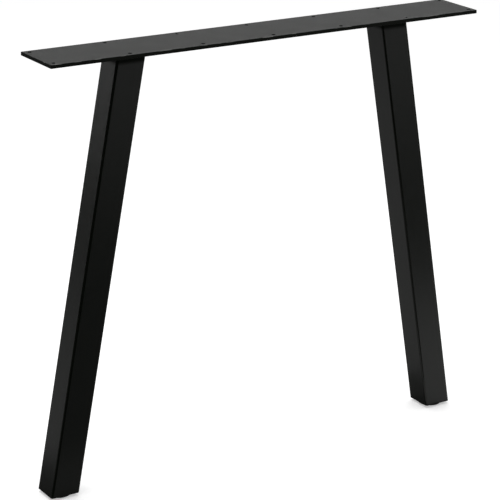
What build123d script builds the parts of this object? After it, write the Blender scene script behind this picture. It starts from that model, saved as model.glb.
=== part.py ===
from build123d import *
import math
import os

# A welded steel table-leg frame: a drilled flat bar carried by two splayed square tubes,
# each closed at the floor by a welded plate that holds a screw-adjustable levelling foot.
# Sizes are in millimetres. +X runs along the bar, +Y across it, +Z is up.
# The origin is on the floor, under the middle of the bar.

os.makedirs("parts", exist_ok=True)

# The welded frame as a whole
frame_height = 720.0  # from the level tube ends to the top of the bar
foot_run = 127.0  # how far each tube's lower end stands out from its upper end

# The flat bar on top
bar_length = 800.0
bar_width = 100.0
bar_thickness = 6.0
bar_edge_radius = 0.5  # rolled and deburred edges
bar_overhang = 127.0  # from the bar's end to the outer face of the tube under it

# The screw holes: two rows along the bar
hole_columns = 7
hole_diameter = 6.0
hole_end_margin = 10.0  # hole centre to the bar's end
hole_side_margin = 10.0  # hole centre to the bar's long edge
hole_countersink = 0.5  # light, on the upper face only

# The square tube
tube_size = 50.0
tube_wall = 2.0
tube_corner_radius = 4.0
least_inner_radius = 0.5  # a drawn tube is never sharp inside

# The weld bead between a tube and the bar
weld_leg = 4.0  # how far the bead reaches along the bar and down the tube
weld_toe = 0.4  # thickness of the bead where it runs out
weld_crown = 0.4  # how far the bead's face bulges
seam_gap = 0.05  # between the bead and the tube it follows

# The plate that closes the lower end of a tube
foot_plate_thickness = 4.0
foot_plate_gap = 0.1  # round its edge, inside the tube
foot_plate_hole_clearance = 0.5  # round the foot's screw

# The welded nut inside the tube
thread_diameter = 8.0
thread_clearance = 0.05  # between the screw and the nut's bore, on the radius
nut_across_flats = 13.0
nut_height = 6.5

# The levelling foot
foot_drop = 5.0  # floor to tube end with the foot screwed right in
stop_gap = 0.3  # left between the pad and the tube end in that place
foot_travel = 10.0  # how far the foot screws out
spare_thread = 2.9  # screw left above the nut with the foot screwed right out
pad_diameter = 40.0
pad_shoulder = 1.2  # bevel round the pad's upper edge
pad_sole_bevel = 0.7
pad_sole_thickness = 1.3  # plastic under the screw's head
head_diameter = 18.0
head_thickness = 2.0
head_clearance = 0.05  # all round the head, so that it turns in the pad
shank_clearance = 0.05  # round the screw in the pad's roof, on the radius
key_across_flats = 5.0  # hexagon recess for the adjusting key
key_depth = 4.0
key_hole_clearance = 0.6  # round the recess, through the pad's sole
screw_tip_chamfer = 1.0

# Levels and angles that follow from the sizes above
tube_end_level = foot_drop
bar_underside = tube_end_level + frame_height - bar_thickness
leg_rise = bar_underside - tube_end_level
head_width = bar_length - 2 * bar_overhang  # over the outer faces of the tubes under the bar
foot_width = head_width + 2 * foot_run  # over the same faces at the lower ends
splay = math.atan2(foot_run, leg_rise)
half_tube = tube_size / 2
half_section = half_tube / math.cos(splay)  # half the tube's level cut, along X
tube_inside = tube_size - 2 * tube_wall
inner_radius = max(tube_corner_radius - tube_wall, least_inner_radius)
foot_plate_top = tube_end_level + foot_plate_thickness
pad_height = foot_drop - stop_gap
thread_radius = thread_diameter / 2 - thread_clearance
head_top = pad_sole_thickness + head_clearance + head_thickness
nut_top = foot_plate_top + nut_height
screw_top = nut_top + foot_travel + spare_thread

SIDES = {"left": -1, "right": 1}


def centre_x(side, level):
    """X of the middle of a tube's level section at a height."""
    lean_in = (level - tube_end_level) * math.tan(splay)
    return side * (foot_width / 2 - lean_in - half_section)


def foot_x(side):
    """X of a levelling foot's axis, in the middle of the tube's lower end."""
    return centre_x(side, tube_end_level)


def slab(low, high):
    """A level layer that reaches past the whole frame, for cutting pieces at two heights."""
    middle = (low + high) / 2
    reach = 2 * (foot_width + bar_length)
    return Pos(0, 0, middle) * Box(reach, reach, high - low)


def upright(side, size, radius):
    """A solid prism along a tube's axis, with a rounded square section."""
    lean = (-side * math.sin(splay), 0, math.cos(splay))
    across = (math.cos(splay), 0, side * math.sin(splay))
    square_on = Plane(origin=(foot_x(side), 0, tube_end_level), x_dir=across, z_dir=lean)
    section = square_on * RectangleRounded(size, size, radius)
    overrun = tube_size  # past both level cuts
    length = leg_rise / math.cos(splay) + 2 * overrun
    return extrude(section.moved(Location([-overrun * c for c in lean])), length, dir=lean)


def top_plate():
    """The drilled bar, with softened rims and holes lightly countersunk from above."""
    bar = Box(bar_length, bar_width, bar_thickness)
    rims = bar.edges() - bar.edges().filter_by(Axis.Z)
    bar = fillet(rims, min(bar_edge_radius, bar_thickness / 3))
    pitch = (bar_length - 2 * hole_end_margin) / (hole_columns - 1)
    row_spacing = bar_width - 2 * hole_side_margin
    drill = Cylinder(hole_diameter / 2, bar_thickness)
    mouth = Cone(hole_diameter / 2, hole_diameter / 2 + hole_countersink, hole_countersink)
    drill += Pos(0, 0, (bar_thickness - hole_countersink) / 2) * mouth
    bar -= GridLocations(pitch, row_spacing, hole_columns, 2) * drill
    return Pos(0, 0, bar_underside + bar_thickness / 2) * bar


def leg_tube(side):
    """One splayed tube, cut level under the bar and at the floor end."""
    wall = upright(side, tube_size, tube_corner_radius) - upright(side, tube_inside, inner_radius)
    return wall & slab(tube_end_level, bar_underside)


def bead_outline(side, level, reach):
    """The weld's level outline: the tube's own section at that height, spread by a reach."""
    width = 2 * (half_section + reach)
    depth = 2 * (half_tube + reach)
    corner = tube_corner_radius + reach
    return Pos(centre_x(side, level), 0, level) * RectangleRounded(width, depth, corner)


def top_weld(side):
    """The bead all round a tube under the bar, a little crowned between its two toes."""
    middle_reach = (weld_leg + weld_toe) / 2 + weld_crown
    outlines = [
        bead_outline(side, bar_underside - weld_leg, weld_toe),
        bead_outline(side, bar_underside - weld_leg / 2, middle_reach),
        bead_outline(side, bar_underside, weld_leg),
    ]
    bead = loft(outlines, ruled=True)
    return bead - upright(side, tube_size + 2 * seam_gap, tube_corner_radius + seam_gap)


def foot_plate(side):
    """The plate inside a tube's lower end, bevelled to the leaning walls, with the screw's hole."""
    fitted = upright(side, tube_inside - 2 * foot_plate_gap, inner_radius)
    plate = fitted & slab(tube_end_level, foot_plate_top)
    hole_radius = thread_diameter / 2 + foot_plate_hole_clearance
    middle = (tube_end_level + foot_plate_top) / 2
    return plate - Pos(foot_x(side), 0, middle) * Cylinder(hole_radius, 2 * foot_plate_thickness)


def weld_nut(side):
    """The hexagon nut welded on top of the foot plate."""
    hexagon = RegularPolygon(nut_across_flats / 2, 6, major_radius=False)
    nut = extrude(hexagon - Circle(thread_diameter / 2), nut_height)
    return Pos(foot_x(side), 0, foot_plate_top) * nut


def foot_stem(side):
    """The foot's screw: a plain shank, the flat head that the pad holds, and the key's recess."""
    head_underside = head_top - head_thickness
    head = Pos(0, 0, (head_underside + head_top) / 2) * Cylinder(head_diameter / 2, head_thickness)
    shank_length = screw_top - head_top
    shank = Pos(0, 0, (head_top + screw_top) / 2) * Cylinder(thread_radius, shank_length)
    shank = chamfer(shank.edges().sort_by(Axis.Z)[-1], screw_tip_chamfer)
    recess = extrude(RegularPolygon(key_across_flats / 2, 6, major_radius=False), key_depth)
    screw = head + shank - Pos(0, 0, head_underside) * recess
    return Pos(foot_x(side), 0, 0) * screw


def foot_pad(side):
    """The round plastic pad, moulded over the screw's head so that the screw can turn in it."""
    pad = Pos(0, 0, pad_height / 2) * Cylinder(pad_diameter / 2, pad_height)
    rims = pad.edges().sort_by(Axis.Z)
    pad = chamfer(rims[0], pad_sole_bevel)
    pad = chamfer(pad.edges().sort_by(Axis.Z)[-1], pad_shoulder)
    pocket_height = head_thickness + 2 * head_clearance
    pocket_radius = head_diameter / 2 + head_clearance
    pad -= Pos(0, 0, pad_sole_thickness + pocket_height / 2) * Cylinder(pocket_radius, pocket_height)
    roof_hole = Cylinder(thread_radius + shank_clearance, pad_height)
    pad -= Pos(0, 0, head_top + pad_height / 2) * roof_hole
    key_corner = key_across_flats / 2 / math.cos(math.pi / 6)
    pad -= Cylinder(key_corner + key_hole_clearance, 2 * (pad_sole_thickness + head_clearance))
    return Pos(foot_x(side), 0, 0) * pad


pieces = {"top_plate": top_plate()}
for name, side in SIDES.items():
    pieces[name + "_leg_tube"] = leg_tube(side)
    pieces[name + "_top_weld"] = top_weld(side)
    pieces[name + "_foot_plate"] = foot_plate(side)
    pieces[name + "_weld_nut"] = weld_nut(side)
    pieces[name + "_foot_stem"] = foot_stem(side)
    pieces[name + "_foot_pad"] = foot_pad(side)

for name, shape in pieces.items():
    export_step(shape, "parts/" + name + ".step")

print("splay in degrees", round(math.degrees(splay), 3))
print("foot axis X", round(foot_x(1), 3))
print("overall height", bar_underside + bar_thickness)
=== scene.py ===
# %% [markdown]
# # A welded table leg in black powder coat
# The object is one end frame of a table: a drilled flat bar, two splayed square tubes welded under it, and a
# levelling foot that screws into the lower end of each tube. Its solids are already made at their real size,
# and they are the frame of this scene, so nothing here moves or resizes them. The lesson gives each surface
# its finish and adds what is too fine for the solids: the ripples of the welds, the threads of the screws and
# the softened edges of sawn tube and moulded plastic.

# %% Load the solids
import math

import bmesh
import bpy
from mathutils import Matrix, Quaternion, Vector


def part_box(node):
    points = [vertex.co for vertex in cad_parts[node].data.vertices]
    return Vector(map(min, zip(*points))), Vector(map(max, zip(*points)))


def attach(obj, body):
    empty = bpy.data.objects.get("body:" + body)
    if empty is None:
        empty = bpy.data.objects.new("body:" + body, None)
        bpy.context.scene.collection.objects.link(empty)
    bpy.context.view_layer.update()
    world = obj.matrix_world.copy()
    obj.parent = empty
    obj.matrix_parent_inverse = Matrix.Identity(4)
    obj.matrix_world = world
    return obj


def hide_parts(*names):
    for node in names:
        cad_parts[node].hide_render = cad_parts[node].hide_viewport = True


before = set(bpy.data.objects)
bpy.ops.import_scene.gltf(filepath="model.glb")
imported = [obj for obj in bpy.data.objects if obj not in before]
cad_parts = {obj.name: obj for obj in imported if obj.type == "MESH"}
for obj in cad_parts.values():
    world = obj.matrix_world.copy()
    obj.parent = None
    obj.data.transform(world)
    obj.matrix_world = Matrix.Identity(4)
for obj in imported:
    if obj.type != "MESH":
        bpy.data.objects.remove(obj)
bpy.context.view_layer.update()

# %% [markdown]
# ## The camera
# The leg was photographed from its front left, a little above the bar, with a long lens from some distance.
# A camera can be placed by trial in the viewport, or worked out from points whose real places are known. Here
# it is worked out: the four corners of the bar, the two rows of holes and the lower ends of the tubes fix the
# direction, the distance and the lens together. The picture was also turned by a little under a degree, which
# is why the camera has a slight roll.

# %% Place the camera
CAMERA_TARGET = Vector((-0.0132, 0.0, 0.3546))
CAMERA_DISTANCE = 3.4406
CAMERA_AZIMUTH = math.radians(-32.49)
CAMERA_ELEVATION = math.radians(18.796)
CAMERA_ROLL = math.radians(0.783)
CAMERA_LENS = 149.65  # millimetres, on a sensor 36 mm wide


def direction(azimuth, elevation):
    """The unit vector from the object towards something seen at these angles."""
    level = math.cos(elevation)
    return Vector((math.sin(azimuth) * level, -math.cos(azimuth) * level, math.sin(elevation)))


camera_data = bpy.data.cameras.new("camera")
camera_data.lens = CAMERA_LENS
camera = bpy.data.objects.new("camera", camera_data)
towards_camera = direction(CAMERA_AZIMUTH, CAMERA_ELEVATION)
camera.location = CAMERA_TARGET + CAMERA_DISTANCE * towards_camera
camera.rotation_mode = "QUATERNION"
aim = (-towards_camera).to_track_quat("-Z", "Y")
camera.rotation_quaternion = aim @ Quaternion((0, 0, 1), CAMERA_ROLL)
bpy.context.scene.collection.objects.link(camera)
bpy.context.scene.camera = camera
bpy.context.scene.view_settings.view_transform = "Standard"
print("the camera stands at", [round(value, 3) for value in camera.location])

# %% [markdown]
# ## The white studio
# The leg stands alone on white. A white floor can be had with a great deal of light, but that light would
# also wash out the black coat. It is better to leave the lamp at a plain level and to whiten the floor and
# the room only where they are seen by the camera or in a reflection. Both are made of nodes, and the first
# cell writes the helpers for those: an empty material, a node with its settings, a piece of arithmetic, and
# the test of how a surface is being seen.

# %% Write the helpers for nodes


def new_material(name):
    """An empty node material, its tree, and the output that its nodes lead to."""
    material = bpy.data.materials.new(name)
    material.use_nodes = True
    tree = material.node_tree
    tree.nodes.clear()
    output = tree.nodes.new("ShaderNodeOutputMaterial")
    return material, tree, output


def feed(tree, value, socket):
    """Puts a value into a socket, or links what comes from another node."""
    if isinstance(value, bpy.types.NodeSocket):
        tree.links.new(value, socket)
    else:
        socket.default_value = value


def add_node(tree, kind, **settings):
    """A new node of that kind. A setting is the node's own if it has one by that name, or else a socket's."""
    node = tree.nodes.new(kind)
    for name, value in settings.items():
        if hasattr(node, name):
            setattr(node, name, value)
        else:
            feed(tree, value, node.inputs[name.replace("_", " ")])
    return node


def calculate(tree, operation, *terms):
    """What a Math node makes of its terms. Each is a number or comes from another node."""
    node = add_node(tree, "ShaderNodeMath", operation=operation)
    for term, socket in zip(terms, node.inputs):
        feed(tree, term, socket)
    return node.outputs[0]


def seen_directly(tree):
    """One where the ray comes from the camera, a reflection or through glass, and nought for plain light."""
    path = tree.nodes.new("ShaderNodeLightPath")
    seen = path.outputs["Is Camera Ray"]
    for other in ("Is Glossy Ray", "Is Transmission Ray"):
        seen = calculate(tree, "MAXIMUM", seen, path.outputs[other])
    return seen


print("helpers for nodes are ready")

# %% [markdown]
# The floor is a sheet of matt, pale grey paper, which adds a little white of its own where it is seen. Most
# of its brightness is still light that falls on it, so it keeps the soft shadow of the leg. A sheet that
# glowed outright would lose that shadow, and the leg would seem to float.

# %% Lay the floor
FLOOR_REACH = 40.0  # metres from the middle to each edge, so that its edge is never seen
FLOOR_GREY = 0.80
FLOOR_OWN_WHITE = 0.40


def plain_grey(shade):
    """A grey as a colour, from nought for black to one for white."""
    return (shade, shade, shade, 1)


floor_mesh = bpy.data.meshes.new("floor")
floor_corners = [(-1, -1), (1, -1), (1, 1), (-1, 1)]
floor_mesh.from_pydata([(FLOOR_REACH * x, FLOOR_REACH * y, 0) for x, y in floor_corners], [], [range(4)])
floor = bpy.data.objects.new("floor", floor_mesh)
bpy.context.scene.collection.objects.link(floor)

floor_paint, tree, output = new_material("floor_paint")
paper = add_node(tree, "ShaderNodeBsdfDiffuse", Color=plain_grey(FLOOR_GREY))
own_white = calculate(tree, "MULTIPLY", seen_directly(tree), FLOOR_OWN_WHITE)
glow = add_node(tree, "ShaderNodeEmission", Strength=own_white)
together = tree.nodes.new("ShaderNodeAddShader")
feed(tree, paper.outputs[0], together.inputs[0])
feed(tree, glow.outputs[0], together.inputs[1])
feed(tree, together.outputs[0], output.inputs["Surface"])
floor_mesh.materials.append(floor_paint)
print("the floor reaches", FLOOR_REACH, "metres each way")

# %% [markdown]
# The room itself gives most of the light, evenly from all sides, as white walls do. It is seen as pure white,
# so the picture has the plain background of a catalogue, but it lights the leg at a plain level only.

# %% Light the room
ROOM_LIGHT = 0.68

world = bpy.data.worlds.new("studio")
bpy.context.scene.world = world
world.use_nodes = True
tree = world.node_tree
tree.nodes.clear()
room = add_node(tree, "ShaderNodeBackground", Color=plain_grey(1), Strength=ROOM_LIGHT)
white = add_node(tree, "ShaderNodeBackground", Color=plain_grey(1), Strength=1.0)
choice = tree.nodes.new("ShaderNodeMixShader")
output = tree.nodes.new("ShaderNodeOutputWorld")
feed(tree, seen_directly(tree), choice.inputs[0])
feed(tree, room.outputs[0], choice.inputs[1])
feed(tree, white.outputs[0], choice.inputs[2])
feed(tree, choice.outputs[0], output.inputs["Surface"])
print("the room lights the object at", ROOM_LIGHT)

# %% [markdown]
# One large soft box hangs over the leg, a little behind it. It gives the shadows on the floor a direction,
# and it is wide enough to leave them soft.

# %% Hang the lamp
LAMP_PLACE = Vector((0.0, 0.4, 2.6))
LAMP_AIM = Vector((0.0, 0.0, 0.3))
LAMP_LENGTH, LAMP_WIDTH = 2.4, 1.6
LAMP_WATTS = 40

lamp_data = bpy.data.lights.new("overhead_lamp", "AREA")
lamp_data.shape = "RECTANGLE"
lamp_data.size = LAMP_LENGTH
lamp_data.size_y = LAMP_WIDTH
lamp_data.energy = LAMP_WATTS
lamp = bpy.data.objects.new("overhead_lamp", lamp_data)
lamp.location = LAMP_PLACE
lamp.rotation_mode = "QUATERNION"
lamp.rotation_quaternion = (LAMP_AIM - LAMP_PLACE).to_track_quat("-Z", "Y")
bpy.context.scene.collection.objects.link(lamp)
print("the lamp gives", LAMP_WATTS, "watts from", round(LAMP_PLACE.z, 1), "metres up")

# %% [markdown]
# ## Cards for the reflections
# A black coat shows little of its own colour. What is seen on it is mostly the room, and in the picture that
# room isn't white all round. The bar's top reflects a pale wall behind it, the sides of the legs reflect a
# grey table, and their front faces a darker one with a black strip across it. Every rounded corner is a thin,
# nearly black line, because it is turned to the side where the photographer stood. A photographer steers all
# this with cards just out of the picture, and so do these cells. Only reflections can see the cards, so
# they neither shade the leg nor show in a picture taken from elsewhere.

# %% Write the card helpers
MM = 0.001
CARD_STEPS = 24  # flat strips in a curved card
CARD_FOOT = 3 * MM  # from the floor to the lower edge of a standing card


def place_card(name, points, faces, shade):
    """A card of one grey that only reflections can see."""
    paint, tree, output = new_material(name + "_paint")
    paper = add_node(tree, "ShaderNodeBsdfDiffuse", Color=plain_grey(shade))
    feed(tree, paper.outputs[0], output.inputs["Surface"])
    mesh = bpy.data.meshes.new(name)
    mesh.from_pydata(points, [], faces)
    mesh.materials.append(paint)
    card = bpy.data.objects.new(name, mesh)
    bpy.context.scene.collection.objects.link(card)
    for kind_of_ray in ("camera", "diffuse", "transmission", "volume_scatter", "shadow"):
        setattr(card, "visible_" + kind_of_ray, False)


def lying_card(name, shade, lift, outline):
    """A flat card, a little above the floor so that it hides it in reflections."""
    place_card(name, [(x, y, lift) for x, y in outline], [range(len(outline))], shade)


def standing_card(name, shade, distance, height, start, end):
    """An upright card, curved round the leg from one azimuth to another in degrees."""
    points, faces = [], []
    for step in range(CARD_STEPS + 1):
        azimuth = math.radians(start + (end - start) * step / CARD_STEPS)
        x, y = distance * math.sin(azimuth), -distance * math.cos(azimuth)
        points += [(x, y, CARD_FOOT), (x, y, height)]
        if step:
            faces.append((2 * step - 2, 2 * step - 1, 2 * step + 1, 2 * step))
    place_card(name, points, faces, shade)


print("card helpers are ready")

# %% [markdown]
# The lying cards come first, in three layers a millimetre and a half apart. The grey table lies lowest, from
# the legs to the back, and the dark one a layer higher, in front of them. On top are the black cards and one
# at each foot, which don't overlap. The black strip is what the middles of the front faces reflect, and the
# black side what the left leg's corner does. The card at each foot is painted shade: it stands for the soft
# shadow close to anything that touches a table.

# %% Lay the cards
TABLE_REACH = 2.4  # metres to the sides and the back
STRIP_NEAR, STRIP_FAR = -0.8, -1.62  # Y of the black strip's two long edges, in front of the legs
STRIP_BEND = -0.52  # Y of the nearer one on the right, where it bends towards the legs
STRIP_END = 1.9  # X of the strip's right end
FIRST_LAYER, SECOND_LAYER, TOP_LAYER = 1.5 * MM, 3.0 * MM, 4.5 * MM
left, right, back = -TABLE_REACH, TABLE_REACH, TABLE_REACH

grey_table = [(left, -0.15), (0.12, -0.15), (0.12, -0.03), (right, -0.03), (right, back), (left, back)]
dark_table = [(left, -0.15), (0.12, -0.15), (0.30, -0.06), (0.40, STRIP_NEAR), (left, STRIP_NEAR)]
black_strip = [(left, STRIP_NEAR), (0.35, STRIP_NEAR), (0.6, STRIP_BEND)]
black_strip += [(STRIP_END, STRIP_BEND), (STRIP_END, STRIP_FAR), (left, STRIP_FAR)]
black_side = [(left, -0.02), (-0.44, -0.02), (-0.40, -0.03), (-0.38, -0.10)]
black_side += [(-0.28, STRIP_NEAR), (left, STRIP_NEAR)]
left_foot = [(-0.56, -0.02), (-0.40, -0.02), (-0.40, 0.18), (-0.56, 0.18)]
right_foot = [(0.29, -0.03), (0.38, -0.03), (0.38, 0.09), (0.29, 0.09)]
LYING_CARDS = [  # name, shade, layer, outline
    ("grey_table_card", 0.42, FIRST_LAYER, grey_table),
    ("dark_table_card", 0.18, SECOND_LAYER, dark_table),
    ("black_strip_card", 0.006, TOP_LAYER, black_strip),
    ("black_side_card", 0.006, TOP_LAYER, black_side),
    # the two foot cards are painted shade, seen only in reflections
    ("left_foot_card", 0.14, TOP_LAYER, left_foot),
    ("right_foot_card", 0.20, TOP_LAYER, right_foot),
]
for card in LYING_CARDS:
    lying_card(*card)
print("the tables reach", TABLE_REACH, "metres, and the black strip lies", -STRIP_NEAR, "metres in front")

# %% [markdown]
# The standing cards are curved round the leg, and an azimuth of nought is straight in front of it. The black
# one is the photographer's side of the room, and a dark one a metre high stands on the right. Behind the leg
# stands the pale wall that the bar's top reflects, with a dark skirting along its foot and a whiter patch
# just above that, for the outer face of the left leg.

# %% Stand the cards
STANDING_CARDS = [  # name, shade, metres from the middle, metres high, azimuths of its two ends
    ("photographer_card", 0.002, 1.7, 1.15, -118, 8),
    ("right_side_card", 0.02, 2.3, 1.0, 60, 112),
    ("skirting_card", 0.02, 2.3, 0.32, 112, 242),
    ("low_wall_card", 0.9, 2.35, 0.95, 195, 242),
    ("pale_wall_card", 0.54, 2.4, 3.0, 60, 242),
]
for card in STANDING_CARDS:
    standing_card(*card)

# %% [markdown]
# ## Finishes
# A finish can be painted on as a picture, but a picture is coarse when it is seen close up, and it has to be
# laid out on the surface first. Noise that is worked out at every point in space has neither fault, so all
# the finishes here are made of it. Four small helpers are enough: two colours blended, a value spread over
# another range, noise with humps of a known size, and a bump that makes those humps stand out.

# %% Write the helpers for finishes


def blend(tree, factor, under, over):
    """A colour laid over another, hidden where the factor is nought and full where it is one."""
    mix = add_node(tree, "ShaderNodeMix", data_type="RGBA", Factor=factor, A=under, B=over)
    return mix.outputs["Result"]


def spread(tree, value, low, high, start=0.0, end=1.0):
    """A value that runs from low to high as the given one goes from its start to its end."""
    between = add_node(
        tree, "ShaderNodeMapRange", Value=value, From_Min=start, From_Max=end, To_Min=low, To_Max=high
    )
    return between.outputs["Result"]


def noise(tree, where, grain, detail=2.0):
    """Soft noise in the object's own space, with humps about one grain apart."""
    return add_node(tree, "ShaderNodeTexNoise", Vector=where, Scale=1 / grain, Detail=detail).outputs["Fac"]


def bump(tree, height, depth, strength, before=None):
    """A bumped normal, laid over the one before it if there is one."""
    node = add_node(tree, "ShaderNodeBump", Height=height, Distance=depth, Strength=strength)
    if before is not None:
        feed(tree, before, node.inputs["Normal"])
    return node.outputs["Normal"]


print("helpers for finishes are ready")

# %% [markdown]
# ## Black powder coat
# The bar, the tubes, the welds and the foot plates wear one coat of matt black powder, baked on after
# welding. Under a lens it is a very fine orange peel: the grains melt and flow together, but not quite flat.
# A bump from two scales of noise gives that, and it is finer than a texture picture could be at this size.
# The coat also varies a little in sheen, where the powder lay thicker.
#
# Powder draws back from a sharp edge as it melts, so it is thinner and smoother there, and handling soon rubs
# it a shade paler. Edges could be marked by hand, but the Bevel node finds them: it gives the normal that a
# slightly rounded edge would have, and where that differs from the real one there is an edge.

# %% Find the sharp edges
EDGE_REACH = 0.6 * MM
EDGE_SAMPLES = 4


def sharp_edges(tree):
    """One along sharp edges, falling to nought within the reach of them."""
    softened = add_node(tree, "ShaderNodeBevel", samples=EDGE_SAMPLES, Radius=EDGE_REACH)
    plain = tree.nodes.new("ShaderNodeNewGeometry")
    agree = add_node(tree, "ShaderNodeVectorMath", operation="DOT_PRODUCT")
    feed(tree, softened.outputs["Normal"], agree.inputs[0])
    feed(tree, plain.outputs["Normal"], agree.inputs[1])
    return spread(tree, agree.outputs["Value"], 1.0, 0.0)


print("edges are found within", round(EDGE_REACH / MM, 2), "mm")

# %% [markdown]
# The same powder is given less shine in two places, and there its black is painted shade. The bar's narrow
# faces and the walls of its holes were sawn, sheared and drilled; they are made nearly black, for the dark
# edge along the bar and the dark holes. And the tube's last centimetre under the bar is made darker, for the
# shade that the bar's overhang casts there as a dark patch at the top of each leg. A second material could be
# painted on those faces, but the borders would be hard. Here the way that a surface faces, or its height,
# sets the coat's shine, so that one material runs softly from the one to the other.

# %% Paint shade on the bar's narrow faces and under the bar, by lowering the coat's shine
COAT_SHINE = 0.2  # specular level, low because the baked powder's skin is full of tiny pores
SHADED_EDGE_SHINE = 0.05  # the same, lowered on the bar's narrow faces and in its holes as painted shade
SHADED_CORNER_SHINE = 0.02  # the same, lowered on the tube under the bar as painted shade
ROLLED_FROM, ROLLED_FULLY = 0.72, 0.95  # how level a face of the bar is where it gains shine and has it all
SHADE_FROM, SHADE_FULLY = 16.5 * MM, 11 * MM  # under the bar, where the painted shade starts and where it is full

bar_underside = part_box("right_leg_tube")[1].z


def parts_of(tree, output):
    """The X, Y and Z of a place or a normal in the object's own space."""
    whole = tree.nodes.new("ShaderNodeTexCoord").outputs[output]
    return add_node(tree, "ShaderNodeSeparateXYZ", Vector=whole).outputs


def bar_shine_with_painted_shade(tree):
    """The coat's shine on the bar: full on its broad faces, low as painted shade on its narrow faces and
    holes.
    """
    levelness = calculate(tree, "ABSOLUTE", parts_of(tree, "Normal")["Z"])
    return spread(tree, levelness, SHADED_EDGE_SHINE, COAT_SHINE, ROLLED_FROM, ROLLED_FULLY)


def tube_shine_with_painted_shade(tree):
    """The coat's shine on a tube: full, but low under the bar as painted shade."""
    height = parts_of(tree, "Object")["Z"]
    return spread(tree, height, COAT_SHINE, SHADED_CORNER_SHINE, bar_underside - SHADE_FROM, bar_underside - SHADE_FULLY)


# the height where the painted shade under the bar starts
print("the dry coat starts", round((bar_underside - SHADE_FROM) / MM), "mm above the floor")

# %% [markdown]
# Two more places differ. Along a tube's rounded corners the steel was stretched smooth when it was rolled,
# and the coat over it is smoother too. Only there does a tube's surface face along the bar and across it at
# the same time, and the lesser of the two says how much. The bar's upper edge and a few rims of its holes
# have small worn patches, where tools and screws have slid over them; their pale grey is also a painted glint
# of light. They lie where the surface is neither upright nor level, and noise breaks them up.

# %% Mark the rolled corners and the worn edges with their painted glints
CORNER_FROM, CORNER_FULLY = 0.1, 0.4  # of the lesser part, where a rounded corner starts and where it is full
SLOPE_FROM, SLOPE_FULLY = 0.20, 0.45  # how far an edge faces up where wear and painted glint start and where they are full
TOP_FROM, TOP_FULLY = 0.90, 0.985  # and where it fades again and where the level top begins
WORN_SIZE = 22 * MM  # from one worn patch with its painted glint to the next
WORN_FROM, WORN_FULLY = 0.55, 0.62  # of the noise, so that about a quarter of the edge is worn


def rolled_corners(tree):
    """One on a tube's four rounded corners, and nought on its flat sides."""
    facing = parts_of(tree, "Normal")
    along, across = (calculate(tree, "ABSOLUTE", facing[axis]) for axis in "XY")
    return spread(tree, calculate(tree, "MINIMUM", along, across), 0.0, 1.0, CORNER_FROM, CORNER_FULLY)


def wear_and_glints_of_the_bar(tree, where):
    """One in patches where steel shows through, also a painted glint: on the upper edges' slopes and holes'
    rims.
    """
    slope = parts_of(tree, "Normal")["Z"]
    off_the_side = spread(tree, slope, 0.0, 1.0, SLOPE_FROM, SLOPE_FULLY)
    off_the_top = spread(tree, slope, 1.0, 0.0, TOP_FROM, TOP_FULLY)
    patches = spread(tree, noise(tree, where, WORN_SIZE, detail=3.0), 0.0, 1.0, WORN_FROM, WORN_FULLY)
    return calculate(tree, "MULTIPLY", calculate(tree, "MULTIPLY", off_the_side, off_the_top), patches)


print("worn patches lie about", round(WORN_SIZE / MM), "mm apart")

# %% [markdown]
# Now the coat can be mixed. Its black is darker than it looks, because most of what the eye gets from it is
# reflection. The bar and the tubes each get a coat with their own painted shade, the bar's also with worn
# patches and painted glints, and the welds and the foot plates get the plain one.

# %% Mix the powder coat
COAT_BLACK = (0.0018, 0.0026, 0.0015, 1)  # very slightly green, as black powder often is
COAT_BLACK_THICK = (0.0024, 0.0032, 0.0021, 1)
COAT_RUBBED = (0.0058, 0.0065, 0.0055, 1)
WORN_AND_GLINT = (0.22, 0.22, 0.21, 1)  # steel that shows through, and a painted glint of light
COAT_ROUGHNESS = (0.31, 0.37)
EDGE_SMOOTHER = 0.10  # taken off the roughness along a sharp edge
CORNER_SMOOTHER = 0.16  # taken off the roughness along a tube's rolled corners
CLOUD_SIZE = 35 * MM  # patches of slightly thicker coat
PEEL_SIZE, PEEL_DEPTH, PEEL_STRENGTH = 1.1 * MM, 0.10 * MM, 0.5
GRAIN_SIZE, GRAIN_DEPTH, GRAIN_STRENGTH = 0.22 * MM, 0.02 * MM, 0.4


def make_powder_coat(name, shine_and_shade_of_the_piece=None, wear_and_glints_of_the_piece=None, smoother_parts=None):
    """Matt black powder coat, with orange peel, a cloudy sheen and thinner, smoother edges."""
    material, tree, output = new_material(name)
    where = tree.nodes.new("ShaderNodeTexCoord").outputs["Object"]
    clouds = noise(tree, where, CLOUD_SIZE, detail=3.0)
    edges = sharp_edges(tree)
    colour = blend(tree, edges, blend(tree, clouds, COAT_BLACK, COAT_BLACK_THICK), COAT_RUBBED)
    if wear_and_glints_of_the_piece is not None:
        # worn patches, whose pale grey is also a painted glint
        colour = blend(tree, wear_and_glints_of_the_piece(tree, where), colour, WORN_AND_GLINT)
    roughness = spread(tree, clouds, *COAT_ROUGHNESS)
    roughness = calculate(tree, "MULTIPLY_ADD", edges, -EDGE_SMOOTHER, roughness)
    if smoother_parts is not None:
        roughness = calculate(tree, "MULTIPLY_ADD", smoother_parts(tree), -CORNER_SMOOTHER, roughness)
    peel = bump(tree, noise(tree, where, PEEL_SIZE), PEEL_DEPTH, PEEL_STRENGTH)
    grain = bump(tree, noise(tree, where, GRAIN_SIZE), GRAIN_DEPTH, GRAIN_STRENGTH, before=peel)
    coat = add_node(tree, "ShaderNodeBsdfPrincipled", Base_Color=colour, Roughness=roughness, Normal=grain)
    # a piece's own shine carries its painted shade, where the coat is made darker by less shine
    shine = COAT_SHINE if shine_and_shade_of_the_piece is None else shine_and_shade_of_the_piece(tree)
    feed(tree, shine, coat.inputs["Specular IOR Level"])
    feed(tree, coat.outputs[0], output.inputs["Surface"])
    return material


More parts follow.
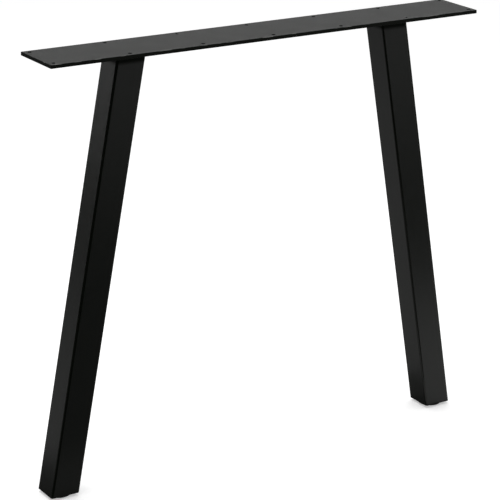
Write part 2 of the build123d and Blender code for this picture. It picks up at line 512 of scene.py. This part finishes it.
black_powder_coat = make_powder_coat("black_powder_coat")
bar_powder_coat = make_powder_coat("bar_powder_coat", bar_shine_with_painted_shade, wear_and_glints_of_the_bar)
tube_powder_coat = make_powder_coat("tube_powder_coat", tube_shine_with_painted_shade, smoother_parts=rolled_corners)
print("the coat's peel is", round(PEEL_SIZE / MM, 2), "mm across and", round(PEEL_DEPTH / MM, 2), "mm deep")

# %% [markdown]
# ## Zinc plating
# The screw of each foot and the nut inside each tube are plated with zinc, a bright metal that its
# passivation leaves a little uneven in tint. Plain metal in one grey would look like chrome, so the same
# noise moves the tint and the roughness together: where the film is thicker, it is warmer and duller.

# %% Plate with zinc
ZINC = (0.60, 0.61, 0.60, 1)
ZINC_TINTED = (0.56, 0.55, 0.49, 1)
ZINC_ROUGHNESS = (0.28, 0.42)
TINT_SIZE = 4 * MM
SATIN_DEPTH = 0.01 * MM


def make_zinc():
    """Passivated zinc plating: metal, with patches of a warmer tint and a satin grain."""
    material, tree, output = new_material("zinc_plating")
    where = tree.nodes.new("ShaderNodeTexCoord").outputs["Object"]
    tint = noise(tree, where, TINT_SIZE, detail=3.0)
    satin = bump(tree, noise(tree, where, GRAIN_SIZE), SATIN_DEPTH, GRAIN_STRENGTH)
    plating = add_node(tree, "ShaderNodeBsdfPrincipled", Metallic=1.0, Normal=satin)
    feed(tree, blend(tree, tint, ZINC, ZINC_TINTED), plating.inputs["Base Color"])
    feed(tree, spread(tree, tint, *ZINC_ROUGHNESS), plating.inputs["Roughness"])
    feed(tree, plating.outputs[0], output.inputs["Surface"])
    return material


zinc_plating = make_zinc()
print("the tint of the zinc changes about every", round(TINT_SIZE / MM), "mm")

# %% [markdown]
# ## Moulded plastic
# The foot's pad is moulded in black plastic from a spark-eroded mould, which gives it an even, fine grain and
# a duller look than the coat above it. Pushed about on a floor, it gets a little rubbed in patches.

# %% Mix the plastic
PLASTIC_BLACK = (0.0065, 0.0065, 0.0068, 1)
PLASTIC_RUBBED = (0.0095, 0.0095, 0.0098, 1)
PLASTIC_ROUGHNESS = (0.50, 0.62)
PLASTIC_SHINE = 0.3
RUBBED_SIZE = 6 * MM
SPARK_SIZE, SPARK_DEPTH, SPARK_STRENGTH = 0.4 * MM, 0.04 * MM, 0.5


def make_plastic():
    """Black plastic with the fine grain of a spark-eroded mould, a little rubbed in patches."""
    material, tree, output = new_material("moulded_plastic")
    where = tree.nodes.new("ShaderNodeTexCoord").outputs["Object"]
    rubbed = noise(tree, where, RUBBED_SIZE, detail=4.0)
    sparks = bump(tree, noise(tree, where, SPARK_SIZE), SPARK_DEPTH, SPARK_STRENGTH)
    plastic = add_node(tree, "ShaderNodeBsdfPrincipled", Specular_IOR_Level=PLASTIC_SHINE, Normal=sparks)
    feed(tree, blend(tree, rubbed, PLASTIC_BLACK, PLASTIC_RUBBED), plastic.inputs["Base Color"])
    feed(tree, spread(tree, rubbed, *PLASTIC_ROUGHNESS), plastic.inputs["Roughness"])
    feed(tree, plastic.outputs[0], output.inputs["Surface"])
    return material


moulded_plastic = make_plastic()
print("the plastic's grain is", round(SPARK_SIZE / MM, 2), "mm across")

# %% [markdown]
# ## Pieces that keep their solid
# The drilled bar already has its rolled edges and the light countersink of its fourteen holes, and the foot
# plates and nuts are plain, so these solids stay as they are. A better material is all that they need, and it
# goes into the slot that each one came with.

# %% Finish the solids that stay
FINISH_OF_SOLIDS = {
    "top_plate": bar_powder_coat,
    "left_foot_plate": black_powder_coat,
    "right_foot_plate": black_powder_coat,
    "left_weld_nut": zinc_plating,
    "right_weld_nut": zinc_plating,
}
for name, finish in FINISH_OF_SOLIDS.items():
    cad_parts[name].data.materials[0] = finish
print("finished solids:", len(FINISH_OF_SOLIDS))

# %% [markdown]
# ## Skins over rings
# The other pieces are all long or round, and each can be thought of as a row of rings with as many points
# each: level sections up a tube, slices along a weld, turns of a profile about an axis. One small function
# joins every ring to the next. Another softens the corners of a profile first, because no sawn, moulded or
# turned edge is perfectly sharp, and it is the softened edge that catches the light.

# %% Write the ring helpers
CORNER_LIMIT = 2.2  # a softened corner takes at most a side's length over this, so that two never meet
CORNER_SWEEP = 3  # straight steps round a softened corner


def soften(profile, reach):
    """The closed profile with each corner swept round, from the reach before it to the reach after it."""
    softened = []
    for index, corner in enumerate(profile):
        corner = Vector(corner)
        before = Vector(profile[index - 1]) - corner
        after = Vector(profile[(index + 1) % len(profile)]) - corner
        start = corner + before.normalized() * min(reach, before.length / CORNER_LIMIT)
        end = corner + after.normalized() * min(reach, after.length / CORNER_LIMIT)
        for step in range(CORNER_SWEEP + 1):
            t = step / CORNER_SWEEP
            softened.append(start.lerp(corner, t).lerp(corner.lerp(end, t), t))
    return softened


def skin(name, rings, loops_back=True):
    """A mesh over the rings. The last ring joins the first, or else flat faces close both ends."""
    maker = bmesh.new()
    rows = [[maker.verts.new(point) for point in ring] for ring in rings]
    pairs = list(zip(rows, rows[1:]))
    if loops_back:
        pairs.append((rows[-1], rows[0]))
    for row, next_row in pairs:
        for index, corner in enumerate(row):
            after = (index + 1) % len(row)
            maker.faces.new((corner, row[after], next_row[after], next_row[index]))
    if not loops_back:
        maker.faces.new(rows[0])
        maker.faces.new(rows[-1])
    bmesh.ops.recalc_face_normals(maker, faces=maker.faces)
    mesh = bpy.data.meshes.new(name)
    maker.to_mesh(mesh)
    maker.free()
    return mesh


print("ring helpers are ready")

# %% [markdown]
# A finished mesh then takes the place of its solid. It has to ride on the same body, so that it moves with
# the foot or stays with the frame, and the solid that it replaces is hidden. Faces that meet at a slight
# angle are shaded as one smooth surface, and steeper ones keep their edge. Weighted normals let the large
# flat faces win over the narrow ones at their edges, so that they look flat right up to them.

# %% Write the fitting helper
SMOOTH_UP_TO = math.radians(35)


def fit_piece(name, mesh, finish, body, node):
    """Puts a mesh in the scene in place of a solid, smooth between sharp edges, and rides it on its body."""
    mesh.materials.append(finish)
    mesh.shade_smooth()
    mesh.set_sharp_from_angle(angle=SMOOTH_UP_TO)
    piece = bpy.data.objects.new(name, mesh)
    bpy.context.scene.collection.objects.link(piece)
    flats_first = piece.modifiers.new("flats_first", "WEIGHTED_NORMAL")
    flats_first.keep_sharp = True
    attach(piece, body)
    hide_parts(node)
    mesh.calc_loop_triangles()
    print(name, "has", len(mesh.loop_triangles), "triangles")


print("faces are smooth up to", round(math.degrees(SMOOTH_UP_TO)), "degrees")

# %% [markdown]
# ## The splayed tubes
# Each leg is a square tube that leans outwards, sawn level at both ends. Square on to its axis the section is
# square, so a level section is a little wider than it is deep. The lean could be typed in, but then it would
# be wrong as soon as the solid changed. It is worked out instead, from how far the solid reaches sideways and
# up, and from the tube's own size.

# %% Measure how the tubes lean
SIDES = {"left": -1, "right": 1}
tube_low, tube_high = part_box("right_leg_tube")
tube_size = tube_high.y - tube_low.y
tube_rise = tube_high.z - tube_low.z
tube_reach = tube_high.x - tube_low.x  # sideways, over the lean and the tube's own width
lean = math.acos(tube_size / math.hypot(tube_reach, tube_rise)) - math.atan2(tube_rise, tube_reach)
half_section = tube_size / 2 / math.cos(lean)


def centre_x(side, level):
    """X of the middle of a tube at a height."""
    lean_in = (level - tube_low.z) * math.tan(lean)
    return side * (tube_high.x - half_section - lean_in)


print("the tubes lean", round(math.degrees(lean), 2), "degrees")

# %% [markdown]
# The tube is rolled from strip, so its four corners are rounded outside and inside, and a file has taken the
# burr off the sawn ends. It could be modelled upright and then turned, but its ends would have to be cut
# level after that. Instead a ring is drawn at every level of a softened profile of the wall, up its outer
# face and down its inner one. Together the rings give the hollow tube with its deburred ends.

# %% Build the tubes
TUBE_WALL = 2.0 * MM
TUBE_CORNER = 4.0 * MM
SAWN_EDGE = 0.35 * MM  # taken off the sawn ends with a file
CORNER_STEPS = 10


def rounded_outline(half_side, radius):
    """Points round a square with arced corners."""
    points = []
    corners = [(1, 1), (-1, 1), (-1, -1), (1, -1)]
    for quarter, (x_side, y_side) in enumerate(corners):
        for step in range(CORNER_STEPS + 1):
            angle = math.radians(90) * (quarter + step / CORNER_STEPS)
            x = x_side * (half_side - radius) + radius * math.cos(angle)
            y = y_side * (half_side - radius) + radius * math.sin(angle)
            points.append((x, y))
    return points


def tube_ring(side, inset, level):
    """The tube's level section at a height, that far in from its outer faces."""
    outline = rounded_outline(tube_size / 2 - inset, TUBE_CORNER - inset)
    return [(centre_x(side, level) + x / math.cos(lean), y, level) for x, y in outline]


wall_profile = soften(
    [(0, tube_low.z), (0, tube_high.z), (TUBE_WALL, tube_high.z), (TUBE_WALL, tube_low.z)], SAWN_EDGE
)
for name, side in SIDES.items():
    rings = [tube_ring(side, inset, level) for inset, level in wall_profile]
    mesh = skin(name + "_tube", rings)
    fit_piece(name + "_tube", mesh, tube_powder_coat, "frame", name + "_leg_tube")

# %% [markdown]
# ## The welds
# A fillet weld runs all round each tube under the bar. A swept triangle would have the right size, but a weld
# is laid drop by drop, and each drop freezes as a crescent that trails in the middle of the bead. So the bead
# is built slice by slice, each slice across it. The first step is to walk once round the tube, along its
# sides and round its corners, and to note at every quarter of a millimetre where the slice stands, which way
# is out and how far the walk has come.

# %% Walk round a tube
SLICE_PITCH = 0.25 * MM

weld_low, weld_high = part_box("right_top_weld")
weld_leg = weld_high.z - weld_low.z


def round_the_tube():
    """Stations round a tube: a point on the rectangle of its corner centres, the way out, the distance."""
    half_x, half_y = half_section - TUBE_CORNER, tube_size / 2 - TUBE_CORNER
    corners = [(half_x, -half_y), (half_x, half_y), (-half_x, half_y), (-half_x, -half_y)]
    middle_radius = TUBE_CORNER + weld_leg / 2
    distance = 0.0
    stations = []
    for quarter, corner in enumerate(corners):
        bend = middle_radius * math.radians(90)
        turns = round(bend / SLICE_PITCH)
        for turn in range(turns):
            angle = math.radians(90) * (quarter - 1 + turn / turns)
            stations.append((Vector(corner), Vector((math.cos(angle), math.sin(angle))), distance))
            distance += bend / turns
        start, end = Vector(corner), Vector(corners[(quarter + 1) % 4])
        angle = math.radians(90) * quarter
        out = Vector((math.cos(angle), math.sin(angle)))
        run = (end - start).length
        steps = round(run / SLICE_PITCH)
        for step in range(steps):
            stations.append((start.lerp(end, step / steps), out, distance))
            distance += run / steps
    return stations, distance


stations, way_round = round_the_tube()
print("it is", round(way_round / MM), "mm round a tube, in", len(stations), "slices")

# %% [markdown]
# Every slice is the crowned section of the fillet, and the crown sinks in the narrow valleys between the
# drops. No hand is even, so the drops stand closer here and wider there, some are taller, and the bead's
# reach along the bar breathes a little. Random numbers would make that jerky, so slow swings do it, and they
# start elsewhere on the left than on the right. Powder coat fills the finest of these forms, which is why the
# valleys are shallow and soft.

# %% Shape a slice of the bead
DROP_PITCH = 2.6 * MM
DROP_TRAIL = 0.45  # of a drop, by which its middle lags behind its sides
UNEVEN = ((5, 0.50), (13, 0.28), (23, 0.16))  # swings round the tube, and how many drops each shifts them by
WELD_CROWN = 0.4 * MM
VALLEY_DEPTH = 0.75  # of the crown
LOWER_DROPS = 0.3  # of the crown, where the drops are lowest
LOWER_PLACES = 3  # swings of the drops' height, once round the tube
WELD_TOE = 0.4 * MM  # thickness of the bead where it runs out on the tube
WANDER = 0.35 * MM
WANDERS = 5  # swings of the bead's reach, once round the tube
BEAD_STEPS = 8
BURIED = 0.1 * MM  # of the bead's back, in the tube's wall

drops = round(way_round / DROP_PITCH)


def swing(times, share, phase):
    """Goes from nought to one and back so many times, once round the tube."""
    return 0.5 + 0.5 * math.sin(math.tau * times * share + phase)


def drops_laid(side, share):
    """How many drops are laid by a share of the way round: a steady count, with the hand's unevenness."""
    shifts = [shift * math.sin(math.tau * swings * share + side * swings) for swings, shift in UNEVEN]
    return share * drops + sum(shifts)


def bead_slice(side, place, out, share):
    """One slice of the bead, at a share of the way round, as a closed ring of points."""
    wander = WANDER * swing(WANDERS, share, side)
    tallness = 1 - LOWER_DROPS * swing(LOWER_PLACES, share, 2 * side)
    laid = drops_laid(side, share)
    ring = []
    for step in range(BEAD_STEPS + 1):
        t = step / BEAD_STEPS
        arch = 4 * t * (1 - t)  # nought at both toes and one in the middle
        valley = (1 - abs(math.sin(math.pi * (laid + DROP_TRAIL * arch)))) ** 2  # narrow, between two drops
        crown = WELD_CROWN * tallness * arch * (1 - VALLEY_DEPTH * valley)
        reach = (weld_leg - wander) * (1 - t) + WELD_TOE * t + crown
        ring.append((reach, weld_high.z - weld_leg * t))
    ring += [(-BURIED, weld_low.z), (-BURIED, weld_high.z)]
    return [
        (*(place + out * (TUBE_CORNER + reach) + Vector((centre_x(side, level), 0))), level)
        for reach, level in ring
    ]


print("each bead is laid in", drops, "drops")

# %% [markdown]
# The slices are the rings of the bead, and the last one joins the first, so each bead is one closed loop. It
# follows its own tube's lean, because every point of a slice is placed from the tube's middle at its height.

# %% Lay the weld beads
for name, side in SIDES.items():
    slices = [bead_slice(side, place, out, distance / way_round) for place, out, distance in stations]
    mesh = skin(name + "_weld", slices)
    fit_piece(name + "_weld", mesh, black_powder_coat, "frame", name + "_top_weld")

# %% [markdown]
# ## The levelling screws
# The foot's screw has an M8 thread, a flat round head that the pad holds, and a hexagon recess for the key.
# A thread can be swept along a helix, but where it starts, ends and meets the head is then hard to join up.
# Here it is a height field on a cylinder instead: each ring of the shank keeps its level, and each point's
# distance from the axis follows from its level and its angle together. So every ring is a function from
# angle to radius: constant for the head, a hexagon for the key's recess, and the thread's own for the shank.

# %% Write rings about an axis
ROUND_STEPS = 60  # round the axis, a multiple of six for the key's hexagon
KEY_ACROSS_FLATS = 5.0 * MM


def turned_ring(axis_x, level, radius_at):
    """A ring about a foot's axis. The radius is a function of the angle."""
    angles = [math.tau * step / ROUND_STEPS for step in range(ROUND_STEPS)]
    return [
        (axis_x + radius_at(angle) * math.cos(angle), radius_at(angle) * math.sin(angle), level)
        for angle in angles
    ]


def circle(radius):
    """The same radius at every angle."""
    return lambda angle: radius


def key_hexagon(angle):
    """The distance from the axis to the hexagon recess, with a corner at angle nought."""
    return KEY_ACROSS_FLATS / 2 / math.cos(angle % math.radians(60) - math.radians(30))


print("the key's recess is", round(2 * key_hexagon(0) / MM, 2), "mm across its corners")

# %% [markdown]
# The thread is right-handed, so the crest climbs as the angle grows. Crest and root are flat for an eighth of
# the pitch, with straight flanks between them. It fades out above the head as a rolled thread does, and the
# tip is chamfered so that the nut takes it easily.

# %% Cut the thread
THREAD_PITCH = 1.25 * MM
THREAD_DEPTH = 0.70 * MM
THREAD_RADIUS = 3.95 * MM
CREST_SHARE = 0.125  # of the pitch, flat at the crest and again at the root
RUN_OUT = 2.5 * MM  # over which the thread fades above the head
TIP_CHAMFER = 1.0 * MM
HEAD_THICKNESS = 2.0 * MM

stem_low, stem_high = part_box("right_foot_stem")
head_top = stem_low.z + HEAD_THICKNESS


def thread_at(level):
    """The thread's radius at each angle, on one level of the shank."""
    full = min(1.0, max(0.0, (level - head_top) / RUN_OUT))
    tip = max(0.0, level - (stem_high.z - TIP_CHAMFER))

    def radius(angle):
        phase = (level / THREAD_PITCH - angle / math.tau) % 1.0
        down_flank = (abs(2 * phase - 1) - CREST_SHARE) / (1 - 2 * CREST_SHARE)
        groove = THREAD_DEPTH * full * min(1.0, max(0.0, down_flank))
        return min(THREAD_RADIUS - groove, THREAD_RADIUS - tip)

    return radius


print("the thread has", round((stem_high.z - head_top) / THREAD_PITCH, 1), "turns")

# %% [markdown]
# A screw is then one row of rings: from the end of the key's recess down to the underside of the head, out
# round its rim, in over its top and up the shank to the tip.

# %% Turn the levelling screws
RINGS_PER_PITCH = 12
HEAD_EDGE = 0.25 * MM
KEY_DEPTH = 4.0 * MM

head_radius = (stem_high.x - stem_low.x) / 2


def screw_rings(axis_x):
    """All the rings of a screw, from the end of the key's recess, out round the head and up to the tip."""
    recess_mouth = key_hexagon(0) + HEAD_EDGE
    outlines = [
        (stem_low.z + KEY_DEPTH, key_hexagon),
        (stem_low.z + HEAD_EDGE, key_hexagon),
        (stem_low.z, circle(recess_mouth)),
        (stem_low.z, circle(head_radius - HEAD_EDGE)),
        (stem_low.z + HEAD_EDGE, circle(head_radius)),
        (head_top - HEAD_EDGE, circle(head_radius)),
        (head_top, circle(head_radius - HEAD_EDGE)),
    ]
    shank = stem_high.z - head_top
    levels = round(shank / THREAD_PITCH * RINGS_PER_PITCH)
    for step in range(levels + 1):
        level = head_top + shank * step / levels
        outlines.append((level, thread_at(level)))
    return [turned_ring(axis_x, level, radius_at) for level, radius_at in outlines]


def foot_axis(name):
    """X of a foot's axis, from its pad."""
    low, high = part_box(name + "_foot_pad")
    return (low.x + high.x) / 2


for name in SIDES:
    mesh = skin(name + "_screw", screw_rings(foot_axis(name)), loops_back=False)
    fit_piece(name + "_screw", mesh, zinc_plating, name + "_stem", name + "_foot_stem")

# %% [markdown]
# ## The pads
# The pad is one plastic moulding that grips the screw's head. It is a turned form, so its profile is drawn
# once, from the key's hole out along the sole, up the side, in over the bevelled shoulder and down through
# the hole in its roof to the pocket round the head. Softening that profile gives the small radii that a
# moulding always has, and turning it about the foot's axis gives the pad.

# %% Mould the pads
PAD_SHOULDER = 1.2 * MM
PAD_SOLE_BEVEL = 0.7 * MM
PAD_SOLE = 1.3 * MM  # thickness under the head
PAD_EDGE = 0.35 * MM
HEAD_PLAY = 0.05 * MM  # between the head and its pocket
KEY_PLAY = 0.6 * MM  # between the recess and the hole in the sole that the key goes through

pad_low, pad_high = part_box("right_foot_pad")
pad_radius = (pad_high.x - pad_low.x) / 2
pocket_radius = head_radius + HEAD_PLAY
pocket_top = head_top + HEAD_PLAY
roof_radius = THREAD_RADIUS + HEAD_PLAY
key_hole_radius = key_hexagon(0) + KEY_PLAY
pad_profile = [
    (key_hole_radius, pad_low.z),
    (pad_radius - PAD_SOLE_BEVEL, pad_low.z),
    (pad_radius, pad_low.z + PAD_SOLE_BEVEL),
    (pad_radius, pad_high.z - PAD_SHOULDER),
    (pad_radius - PAD_SHOULDER, pad_high.z),
    (roof_radius, pad_high.z),
    (roof_radius, pocket_top),
    (pocket_radius, pocket_top),
    (pocket_radius, pad_low.z + PAD_SOLE),
    (key_hole_radius, pad_low.z + PAD_SOLE),
]
for name in SIDES:
    rings = [
        turned_ring(foot_axis(name), level, circle(radius)) for radius, level in soften(pad_profile, PAD_EDGE)
    ]
    mesh = skin(name + "_pad", rings)
    fit_piece(name + "_pad", mesh, moulded_plastic, name + "_pad", name + "_foot_pad")
